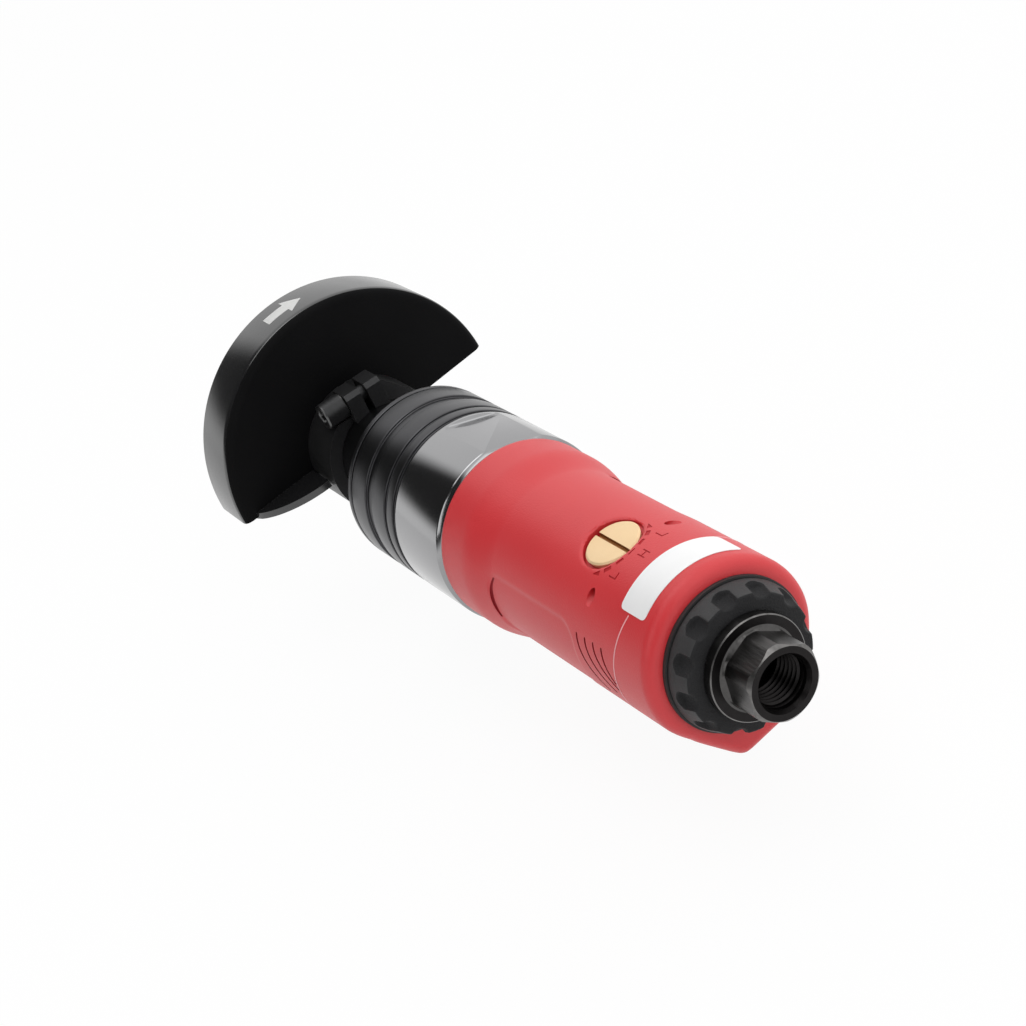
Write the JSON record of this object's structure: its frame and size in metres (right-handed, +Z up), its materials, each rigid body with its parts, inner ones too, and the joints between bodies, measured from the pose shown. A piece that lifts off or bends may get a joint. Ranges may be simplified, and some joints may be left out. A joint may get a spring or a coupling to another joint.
{
  "type": "pneumatic cut-off tool",
  "caption": "Straight air-driven cut-off tool with a moulded grip, lever throttle, steel motor collar, swivelling half guard and threaded air inlet.",
  "frame": {"origin": "centre of the air inlet's bore at its first thread, behind which the mouth is chamfered", "axes": "+X forward along the spindle to the wheel, +Y to the left, +Z up, towards the regulator"},
  "size_m": [0.2168, 0.0829, 0.0811],
  "materials": {
    "red_grip": "satin moulded composite",
    "black_steel": "turned steel, black oxide, oiled",
    "guard_black": "satin black paint",
    "lever_black": "semi-gloss black paint",
    "black_moulding": "matte grained plastic",
    "black_rubber": "smooth rubber",
    "felt": "pressed felt",
    "brass": "satin turned brass",
    "vane_fibre": "fibre laminate",
    "bright_steel": "ground steel"
  },
  "bodies": {
    "handle": {"handle_housing": "red_grip", "front_collar": "black_steel", "inlet_bushing": "black_steel", "inlet_screen": "bright_steel", "deflector_washer": "black_rubber", "muffler": "felt", "regulator_pin": "bright_steel", "valve_seat": "brass", "valve_spring": "bright_steel", "stem_seal": "black_rubber", "lever_pin": "bright_steel", "wave_washer": "bright_steel", "rear_end_plate": "bright_steel", "motor_cylinder": "bright_steel", "front_end_plate": "bright_steel", "cylinder_pin": "bright_steel", "rear_bearing_outer": "bright_steel", "front_bearing_outer": "bright_steel", "nose_bearing_outer": "bright_steel", "nose_seal": "felt"},
    "drive": {"rotor": "bright_steel", "vane_1": "vane_fibre", "vane_2": "vane_fibre", "vane_3": "vane_fibre", "vane_4": "vane_fibre", "vane_5": "vane_fibre", "rear_bearing_inner": "bright_steel", "front_bearing_inner": "bright_steel", "nose_bearing_inner": "bright_steel", "spindle": "bright_steel", "inner_flange": "bright_steel", "outer_flange": "bright_steel", "arbor_screw": "black_steel"},
    "rear_balls": {"rear_bearing_balls": "bright_steel"},
    "front_balls": {"front_bearing_balls": "bright_steel"},
    "nose_balls": {"nose_bearing_balls": "bright_steel"},
    "guard": {"wheel_guard": "guard_black", "guard_clamp": "guard_black", "clamp_screw": "black_steel"},
    "deflector": {"exhaust_deflector": "black_moulding"},
    "regulator": {"regulator": "brass", "regulator_seal": "black_rubber"},
    "lever": {"throttle_lever": "lever_black", "latch_pin": "bright_steel", "latch_spring": "bright_steel"},
    "valve": {"throttle_valve": "brass"},
    "latch": {"safety_latch": "black_steel"}
  },
  "joints": [
    {"name": "spindle_spin", "type": "hinge", "parent": "handle", "child": "drive", "pos_m": [0.113, 0, 0], "axis": [1, 0, 0], "continuous": true},
    {"name": "rear_balls_orbit", "type": "hinge", "parent": "handle", "child": "rear_balls", "pos_m": [0.088, 0, 0], "axis": [1, 0, 0], "continuous": true},
    {"name": "front_balls_orbit", "type": "hinge", "parent": "handle", "child": "front_balls", "pos_m": [0.138, 0, 0], "axis": [1, 0, 0], "continuous": true},
    {"name": "nose_balls_orbit", "type": "hinge", "parent": "handle", "child": "nose_balls", "pos_m": [0.194, 0, 0], "axis": [1, 0, 0], "continuous": true},
    {"name": "guard_swing", "type": "hinge", "parent": "handle", "child": "guard", "pos_m": [0.199, 0, 0], "axis": [1, 0, 0], "continuous": true},
    {"name": "deflector_turn", "type": "hinge", "parent": "handle", "child": "deflector", "pos_m": [0.0139, 0, 0], "axis": [1, 0, 0], "continuous": true},
    {"name": "regulator_turn", "type": "hinge", "parent": "handle", "child": "regulator", "pos_m": [0.04945, 0, 0.0201], "axis": [0, 0, 1], "range_deg": [-75, 75]},
    {"name": "lever_squeeze", "type": "hinge", "parent": "handle", "child": "lever", "pos_m": [0.03345, 0, -0.0278], "axis": [0, -1, 0], "range_deg": [0, 8], "stiffness_Nm_per_rad": 2, "springref_deg": -17.19},
    {"name": "valve_lift", "type": "slide", "parent": "handle", "child": "valve", "axis": [0, 0, 1], "range_m": [0, 0.0024], "deforming": ["valve_spring"]},
    {"name": "latch_fold", "type": "hinge", "parent": "lever", "child": "latch", "pos_m": [0.07679, 0, -0.03243], "axis": [0, -1, 0], "range_deg": [0, 66], "deforming": ["latch_spring"]}
  ],
  "couplings": [
    {"joint": "rear_balls_orbit", "follows": "spindle_spin", "ratio": 0.394},
    {"joint": "front_balls_orbit", "follows": "spindle_spin", "ratio": 0.394},
    {"joint": "nose_balls_orbit", "follows": "spindle_spin", "ratio": 0.406},
    {"joint": "valve_lift", "follows": "lever_squeeze", "m_per_rad": 0.016},
    {"joint": "latch_fold", "follows": "lever_squeeze", "ratio": 8.125}
  ]
}
